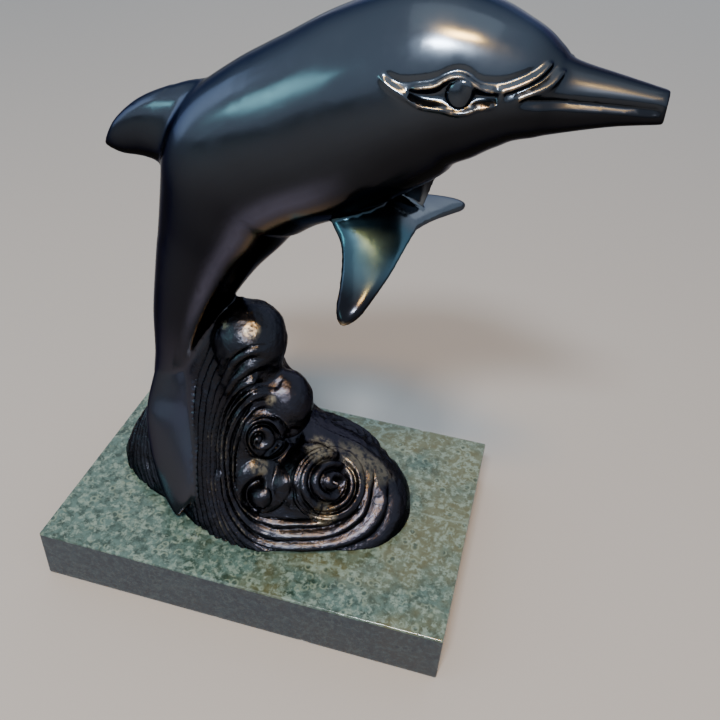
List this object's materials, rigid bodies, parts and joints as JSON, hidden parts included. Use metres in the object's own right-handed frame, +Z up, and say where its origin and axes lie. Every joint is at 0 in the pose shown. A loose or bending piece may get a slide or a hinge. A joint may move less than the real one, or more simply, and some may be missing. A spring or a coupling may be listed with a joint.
{
  "type": "bronze dolphin statue",
  "caption": "Cast bronze dolphin leaping over a curling wave, one casting on a slab of green marble that it stands on.",
  "frame": {"origin": "middle of the marble slab's underside", "axes": "+Z up, +X along the slab's length towards the dolphin's beak, -Y towards the side with the carved curls"},
  "size_m": [0.1758, 0.1, 0.2124],
  "materials": {
    "dark_bronze": "near-black bronze patina, polished on the dolphin with a blue-green sheen, rubbed to warm gold on high edges, cast grain on the wave",
    "green_marble": "polished dark green serpentine marble with pale grey-green flecks and rings, sawn sides a little bluer"
  },
  "bodies": {
    "root": {"dolphin_and_wave_casting": "dark_bronze", "marble_plinth": "green_marble"}
  },
  "joints": []
}
